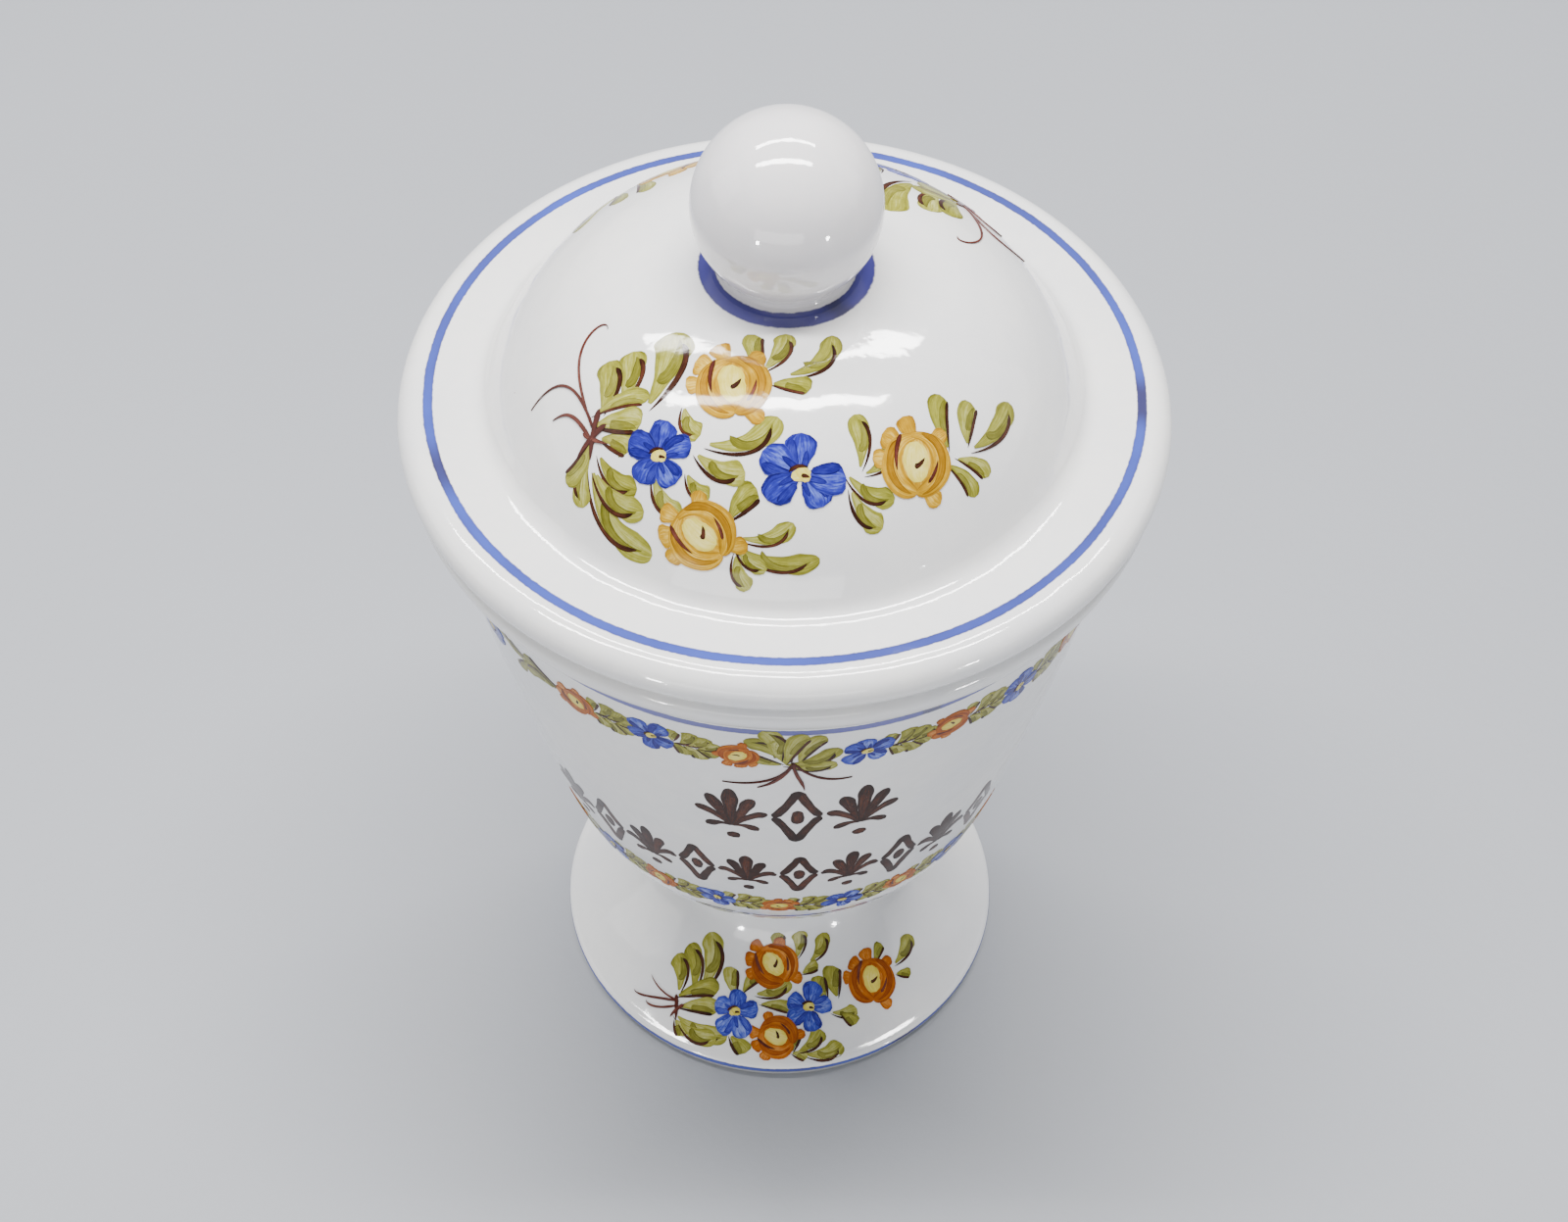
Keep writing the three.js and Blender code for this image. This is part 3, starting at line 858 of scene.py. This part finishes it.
def rose(work, wall, azimuth, place, size, turn, inks):
    """A cabbage-like rose: loose outer dabs, two crescents and a pale heart."""
    work.layer = max(work.layer, FLOWER_LAYER)
    spot = Spot(wall, azimuth, place, turn)

    def at(x, y):
        return np.array([x, y]) * size

    outer = (
        ((-0.1, 0.15), (-0.5, 0.5), (-0.72, 0.62), 0.56),
        ((0.05, 0.3), (-0.1, 0.75), (-0.2, 1.0), 0.5),
        ((-0.3, 0.0), (-0.75, 0.1), (-0.98, 0.08), 0.46),
        ((0.1, -0.3), (0.3, -0.8), (0.62, -0.98), 0.42),
        ((0.1, 0.2), (0.5, 0.45), (0.8, 0.62), 0.4),
    )
    for a, b, c, wide in outer:
        work.layer += 1
        work.stroke(spot, [at(*a), at(*b), at(*c)], wide * size, inks[0], comma)
    work.layer += 1
    work.stroke(spot, [at(0.05, 0.62), at(-0.1, 0.0), at(0.08, -0.68)], 1.15 * size, inks[0], dab)
    work.layer += 1
    work.stroke(spot, [at(0.1, 0.55), at(-0.75, 0.5), at(-0.75, -0.6), at(0.05, -0.7)],
                0.52 * size, inks[0], petal)
    work.layer += 1
    work.stroke(spot, [at(-0.05, 0.58), at(0.85, 0.55), at(0.85, -0.6), at(0.0, -0.72)],
                0.5 * size, inks[0], petal)
    work.layer += 1
    work.stroke(spot, [at(0.2, 0.6), at(0.88, 0.4), at(0.8, -0.55), at(0.15, -0.75)],
                0.2 * size, inks[1], line)
    work.stroke(spot, [at(-0.3, 0.5), at(-0.8, 0.1), at(-0.6, -0.55), at(-0.1, -0.72)],
                0.2 * size, inks[1], line)
    work.layer += 1
    work.stroke(spot, [at(0.08, 0.42), at(-0.06, -0.05), at(0.14, -0.46)], 0.6 * size, "straw", dab)
    work.layer += 1
    work.stroke(spot, [at(-0.28, 0.62), at(-0.5, 0.2), at(-0.42, -0.2)], 0.11 * size, "sepia", line)
    work.stroke(spot, [at(-0.02, -0.12), at(0.1, -0.14), at(0.24, 0.06)],
                0.12 * size, "umber", line)
    work.stroke(spot, [at(0.3, -0.5), at(0.5, -0.3), at(0.56, 0.0)], 0.09 * size, "sepia", line)


def tendril(work, wall, places, width, ink="sepia", turn=0.0):
    """A thin curling line; places are (azimuth, place) and steer it like a bent wire."""
    work.layer += 1
    middle = places[len(places) // 2]
    spot = Spot(wall, middle[0] + turn, middle[1])
    work.stroke(spot, [spot.local(a + turn, p) for a, p in places], width, ink, line)


# base and tip of each leaf in the gap between two flowers, in mm, with its width and bend
GARLAND_LEAVES = (
    ((-4.2, 0.4), (-3.4, 4.6), 3.2, 0.12), ((-2.6, 0.2), (-0.4, 5.2), 3.8, -0.14),
    ((-0.8, 0.2), (2.6, 4.4), 3.8, -0.16), ((1.2, -0.2), (4.8, 2.6), 3.2, -0.16),
    ((-4.0, -0.4), (-1.8, -4.2), 3.4, 0.16), ((-1.6, -0.6), (1.4, -4.8), 3.8, 0.16),
    ((0.8, -0.6), (4.2, -3.2), 3.2, 0.14),
)


def garland(work, wall, height, first, last, size, step, drop=0.0, blue=1, closed=False):
    """Flowers in a row between two azimuths, with a fan of leaves in each gap.

    Blue is 0 to start with a blue flower and 1 to start with a rose. A closed garland has leaves
    after its last flower as well.
    """
    count = max(1, round((last - first) / step))
    pace = (last - first) / count
    radius = float(np.interp(height, wall.points[:, 1], wall.points[:, 0]))
    mm = math.degrees(1 / radius)
    for k in range(count + 1):
        azimuth = first + pace * k
        level = height + drop * math.sin(k * 2.4)
        work.layer = 0
        if k % 2 == blue:
            flower(work, wall, azimuth, level, size * 0.55, 25 * k, ("sky", "navy"))
        else:
            rose(work, wall, azimuth, level, size * 0.52, 40 + 50 * k, ("rust", "russet"))
        if k == count and not closed:
            break
        middle = azimuth + pace / 2
        fan = [
            ((middle + a * mm, level + b), (middle + c * mm, level + d), wide, bend)
            for (a, b), (c, d), wide, bend in GARLAND_LEAVES
        ]
        leaves(work, wall, fan, 0.0, size / 9.6)
        tendril(work, wall, [(middle - 4 * mm, level - 0.6), (middle, level + 0.8),
                             (middle + 4 * mm, level - 0.4)], 0.8, "umber")


def dot(work, spot, size):
    work.stroke(spot, [(-size * 0.5, 0), (size * 0.5, size * 0.1)], size, "umber", dab)


def lozenge(work, wall, azimuth, height, wide, tall, weight):
    """A diamond drawn with four brush strokes round a heart of one dab."""
    work.layer = 0
    spot = Spot(wall, azimuth, height)
    corners = [(0, tall / 2), (wide / 2, 0), (0, -tall / 2), (-wide / 2, 0)]
    for a, b in zip(corners, corners[1:] + corners[:1]):
        work.layer += 1
        bow = (np.array(a) + np.array(b)) * 0.42
        work.stroke(spot, [a, bow, b], weight, "umber", bar)
    work.layer += 1
    work.stroke(spot, [(0, tall * 0.13), (0.2, 0), (0, -tall * 0.13)], weight * 1.3, "umber", dab)


def palmette(work, wall, azimuth, height, wide, tall, weight):
    """Five comma strokes that open like a fan, over two small ones and a dab."""
    work.layer = 0
    spot = Spot(wall, azimuth, height)
    petals = (
        (0.0, 0.5, 0.0, 1.1), (0.3, 0.34, 0.05, 1.0), (-0.3, 0.34, 0.05, 1.0),
        (0.5, 0.04, 0.16, 0.9), (-0.5, 0.04, 0.16, 0.9), (0.36, -0.3, 0.1, 0.75),
        (-0.36, -0.3, 0.1, 0.75),
    )
    for x, y, arch, share in petals:
        work.layer += 1
        root = np.array([x * wide * 0.06, -tall * 0.24])
        tip = np.array([x * wide, y * tall])
        middle = (root + tip) / 2 + np.array([0, arch * tall])
        work.stroke(spot, [root, middle, tip], weight * share, "umber", comma)
    work.layer += 1
    work.stroke(spot, [(0, -tall * 0.38), (0.2, -tall * 0.44), (0, -tall * 0.5)], weight * 0.9,
                "umber", dab)


# ---- decorations ----


def bouquet(wall, turn, fan, fatter, roses, rose_inks, flowers, flower_inks, stems):
    """A spray of leaves, roses, blue flowers and thin stems, turned round the axis."""
    work = Painting(PAINT_ON_TOP)
    leaves(work, wall, fan, turn, fatter)
    for azimuth, radius, size, spin in roses:
        work.layer = 0
        rose(work, wall, turn + azimuth, radius, size, spin, rose_inks)
    for azimuth, radius, size, spin in flowers:
        work.layer = FLOWER_LAYER + 0.5
        flower(work, wall, turn + azimuth, radius, size, spin, flower_inks)
    for places, width in stems:
        work.layer = LINE_LAYER
        tendril(work, wall, places, width, "sepia", turn)
    return work


def lid_bouquet(turn):
    """The spray on the dome: a tied stem on the left that opens to the right."""
    fan = (
        ((-39, 39), (-50, 26), 5.6, -0.1), ((-46, 41), (-55, 34), 4.4, -0.1),
        ((-49, 44), (-58, 38), 4.4, -0.1), ((-50, 45), (-40, 38), 2.8, 0.14),
        ((-48, 46), (-38, 42), 4.2, 0.1), ((-45, 47), (-37, 46), 3.8, 0.14),
        ((-43, 49), (-32, 50), 3.6, -0.18), ((-46, 49), (-42, 55), 3.2, -0.12),
        ((-47, 48), (-48, 54), 3.0, 0.16), ((-42, 51), (-29, 52), 4.0, -0.2),
        ((-43, 51), (-25, 56), 4.6, -0.2), ((-29, 48), (-21, 51), 3.4, -0.18),
        ((-22, 46), (-16, 48), 3.0, -0.16), ((-21, 43), (-9, 44), 3.8, -0.16),
        ((-19, 41), (-2, 35), 3.8, -0.24), ((-29, 37), (-22, 40), 3.2, -0.2),
        ((-9, 26), (-17, 19), 3.2, 0.16), ((-8, 26), (0, 18), 3.4, -0.14),
        ((2, 27), (25, 20), 3.4, -0.26), ((-4, 29), (9, 30), 3.0, 0.1),
        ((-11, 50), (-6, 46), 4.0, 0.12), ((-8, 52), (2, 50), 2.8, -0.2),
        ((-9, 53), (7, 54), 3.0, -0.18), ((-9, 54), (-6, 57), 2.8, -0.14),
        ((-9, 53), (-3, 55), 2.4, -0.16), ((18, 44), (20, 36), 3.2, -0.1),
        ((19, 45), (27, 42), 2.6, -0.2), ((40, 46), (46, 39), 3.2, 0.16),
        ((45, 47), (52, 43), 3.4, 0.16), ((46, 48), (61, 47), 3.8, -0.14),
        ((41, 48), (46, 52), 2.6, 0.16), ((38, 48), (41, 53), 2.6, 0.18),
        ((15, 45), (24, 49), 3.0, -0.18), ((15, 47), (20, 52), 3.2, -0.12),
    )
    roses = ((-19, 30, 8.4, 25), (-17, 52.5, 8.0, 60), (31, 45.5, 8.2, -20))
    flowers = ((-30, 45, 6.6, 12), (4, 44, 7.8, -14))
    stems = (
        ([(-48, 47), (-60, 43), (-72, 44), (-74, 33), (-68, 35)], 0.5),
        ([(-47, 47), (-58, 44), (-67, 44), (-66, 52)], 0.6),
        ([(-47, 48), (-54, 47), (-57, 47), (-59, 50)], 0.8),
        ([(-50, 44), (-48, 47), (-45, 50)], 1.2), ([(-46, 45), (-48, 48), (-48, 51)], 1.1),
        ([(-50, 48), (-47, 48), (-43, 47)], 1.0),
    )
    return bouquet(
        DOME, turn, fan, 1.3, roses, ("ochre", "amber"), flowers, ("cobalt", "navy"), stems
    )


def foot_bouquet(turn):
    """The spray on the skirt of the foot, with the same tied stem on its left."""
    fan = (
        ((-28, 40), (-35, 30), 5.2, -0.16), ((-31, 41), (-41, 34), 4.2, -0.14),
        ((-35, 43), (-43, 37), 4.0, -0.12), ((-34, 44), (-22, 39), 4.0, 0.14),
        ((-32, 46), (-20, 43), 3.8, 0.1), ((-31, 48), (-15, 48), 4.2, -0.14),
        ((-31, 49), (-27, 51.5), 3.4, 0.1), ((-29, 49), (-18, 49), 4.0, -0.18),
        ((-16, 39), (-20, 34), 3.6, 0.1), ((-13, 38), (-4, 33), 3.8, 0.2),
        ((-8, 38), (4, 35), 3.6, -0.16), ((2, 31), (0, 27), 3.0, 0.12),
        ((8, 31), (10, 27), 3.2, -0.1), ((14, 32), (22, 28), 3.4, -0.2),
        ((10, 34), (17, 33), 2.8, 0.1), ((21, 40), (23, 34), 4.2, 0.12),
        ((17, 40), (16, 35), 3.4, 0.1), ((40, 37), (46, 35), 2.6, 0.1),
        ((46, 40), (58, 38), 3.4, -0.1), ((44, 42), (48, 44), 2.4, 0.1),
        ((18, 43), (26, 44), 2.8, -0.1), ((21, 44), (24, 47), 3.0, 0.1),
        ((-6, 40), (5, 41), 2.8, 0.1), ((4, 50), (6, 45), 3.4, 0.12),
        ((6, 50), (13, 46), 3.4, -0.14), ((8, 51), (18, 50), 3.8, -0.16),
        ((4, 50.5), (8, 51.7), 2.6, 0.1), ((-14, 48), (-9, 51), 4.0, 0.1),
    )
    roses = ((-3, 32, 7.2, 35), (35, 39.5, 7.4, -25), (-1, 46.8, 6.4, 70))
    flowers = ((-14.5, 42.5, 6.2, 10), (10.5, 40.8, 6.2, -20))
    stems = (
        ([(-33, 45), (-40, 47), (-45, 50), (-47, 49)], 0.6),
        ([(-33, 46), (-37, 49), (-41, 50), (-42, 49)], 0.6),
        ([(-34, 45), (-40, 46), (-46, 44)], 0.45), ([(-35, 44), (-33, 46), (-31, 49)], 1.0),
        ([(-31, 45), (-33, 47), (-33, 49)], 0.9),
    )
    return bouquet(
        SKIRT, turn, fan, 1.2, roses, ("rust", "russet"), flowers, ("sky", "cobalt"), stems
    )


def bowl_ornament():
    """Label field of the jar, filled with plain ornament in manganese brown."""
    work = Painting(PAINT_ON_WALL)
    lozenge(work, BOWL, 3, 128, 9.5, 25, 2.1)
    palmette(work, BOWL, -9, 128, 15, 24, 3.2)
    palmette(work, BOWL, 15, 128, 15, 24, 3.2)
    row = (-51, -40, -29, -18, -7, 4, 15, 26, 37, 48)
    for k, azimuth in enumerate(row):
        if k % 2:
            lozenge(work, BOWL, azimuth, 97, 7.4, 21, 1.9)
        else:
            palmette(work, BOWL, azimuth, 97, 12, 20, 2.7)
    for azimuth in row[:-1]:
        spot = Spot(BOWL, azimuth + 5.5, 97)
        work.layer = 1
        dot(work, spot, 1.7)
    return work


def bowl_garland():
    """The garland starts and ends at the tied cluster under the front of the rim."""
    work = Painting(PAINT_ON_WALL)
    garland(work, BOWL, 155, 14, 302, 9.6, 14.4, 0.5, 0)
    garland(work, BOWL, 155, -36, -7, 9.6, 14.4, 0.5)
    cluster = (
        ((1, 152), (-6, 161), 4.6, -0.2), ((1, 153), (-3, 167), 4.6, -0.1),
        ((1, 153), (4, 164), 4.4, 0.12), ((1, 152), (9, 158), 4.8, -0.18),
        ((2, 151), (9, 152), 4.0, -0.14), ((0, 152), (-5, 155), 3.6, 0.12),
        ((0, 154), (0, 162), 3.8, 0.14), ((3, 153), (7, 163), 4.0, 0.14),
        ((-40, 155), (-47, 159), 4.2, 0.16), ((-41, 154), (-48, 153), 4.2, -0.16),
        ((-46, 156), (-52, 158), 3.4, 0.14), ((-50, 156), (-56, 161), 3.0, 0.12),
        ((-46, 155), (-50, 150), 3.0, -0.12),
    )
    leaves(work, BOWL, cluster)
    for places, width in (
        ([(2, 153), (1, 147), (-3, 143), (-10, 143)], 0.6),
        ([(2, 153), (1, 148), (-1, 144), (-4, 142)], 0.8),
        ([(2, 153), (2, 148), (4, 144), (4, 141)], 0.8),
        ([(2, 153), (4, 148), (7, 144), (12, 145)], 0.6),
    ):
        work.layer = LINE_LAYER
        tendril(work, BOWL, places, width)
    return work


def low_garland():
    """The closed garland round the turn of the bowl."""
    work = Painting(PAINT_ON_WALL)
    garland(work, BOWL, 78, -180, 165, 8.6, 15, 0.4, closed=True)
    return work


lid_bouquet(0).finish("lid_spray_front", "lid")
lid_bouquet(180).finish("lid_spray_back", "lid")
foot_bouquet(0).finish("foot_spray_front", "jar")
foot_bouquet(180).finish("foot_spray_back", "jar")
bowl_garland().finish("bowl_garland_high", "jar")
low_garland().finish("bowl_garland_low", "jar")
bowl_ornament().finish("bowl_label_ornament", "jar")

# ---- stage ----


def floor():
    t = Tree("floor_pale")
    colour = t.mix(t.noise(3, 4.0), rgb("989ba2"), rgb("a2a5ab"))
    bump = t.node("ShaderNodeBump", Strength=0.2, Distance=0.0005, Height=t.noise(300, 3.0))
    shader = t.node("ShaderNodeBsdfPrincipled", Base_Color=colour, Roughness=0.6,
                    Normal=bump.outputs[0])
    mesh = bpy.data.meshes.new("floor")
    half = 8.0
    corners = [(-half, -half, 0), (half, -half, 0), (half, half, 0), (-half, half, 0)]
    mesh.from_pydata(corners, [], [(0, 1, 2, 3)])
    mesh.materials.append(t.show(shader))
    plane = bpy.data.objects.new("floor", mesh)
    plane.location.z = CAD_BOX[0].z
    bpy.context.scene.collection.objects.link(plane)


def area_light(name, place, target, width, depth, power, colour=(1, 1, 1), shape="RECTANGLE"):
    light = bpy.data.lights.new(name, "AREA")
    light.shape = shape
    light.size, light.size_y = width, depth
    light.energy = power
    light.color = colour
    lamp = bpy.data.objects.new(name, light)
    lamp.location = place
    aim = Vector(target) - Vector(place)
    lamp.rotation_mode = "QUATERNION"
    lamp.rotation_quaternion = aim.to_track_quat("-Z", "Y")
    bpy.context.scene.collection.objects.link(lamp)


floor()
LID_CENTRE = (0, 0, 0.2)
area_light("strip_overhead", (-0.1, 0.05, 1.55), (-0.1, 0, 0.2), 1.5, 0.14, 44, (1.0, 0.99, 0.98))
area_light("strip_behind", (-0.05, 0.62, 1.35), (-0.05, 0, 0.2), 1.3, 0.09, 23, (1.0, 0.99, 0.98))
area_light("front_soft", (-0.25, -1.8, 0.26), (0, 0, 0.12), 1.9, 0.45, 8)
area_light("side_left", (-1.6, 0.1, 0.8), (0, 0, 0.12), 1.0, 1.0, 3.5)
area_light("side_right", (1.6, 0.2, 0.8), (0, 0, 0.12), 1.0, 1.0, 2.5)
area_light("lamp_left", (-0.58, -0.98, 0.07), LID_CENTRE, 0.09, 0.09, 2.4, shape="DISK")
area_light("lamp_right", (0.86, -0.86, 0.07), LID_CENTRE, 0.09, 0.09, 2.4, shape="DISK")

world = bpy.data.worlds.new("studio")
world.use_nodes = True
world.node_tree.nodes["Background"].inputs["Color"].default_value = (0.84, 0.85, 0.87, 1)
world.node_tree.nodes["Background"].inputs["Strength"].default_value = 0.36
bpy.context.scene.world = world

# ---- camera ----

CAMERA_PLACE = Vector((0.0, -0.3256, 0.5194))
CAMERA_TARGET = Vector((0.0003, 0.0, 0.115))
CAMERA_ROLL = 0.64

camera_data = bpy.data.cameras.new("camera")
camera_data.sensor_width = 36
camera_data.lens = 54
camera_data.clip_start = 0.01
camera = bpy.data.objects.new("camera", camera_data)
camera.location = CAMERA_PLACE
camera.rotation_mode = "QUATERNION"
look = (CAMERA_TARGET - CAMERA_PLACE).to_track_quat("-Z", "Y")
camera.rotation_quaternion = look @ Quaternion((0, 0, 1), math.radians(CAMERA_ROLL))
bpy.context.scene.collection.objects.link(camera)
bpy.context.scene.camera = camera
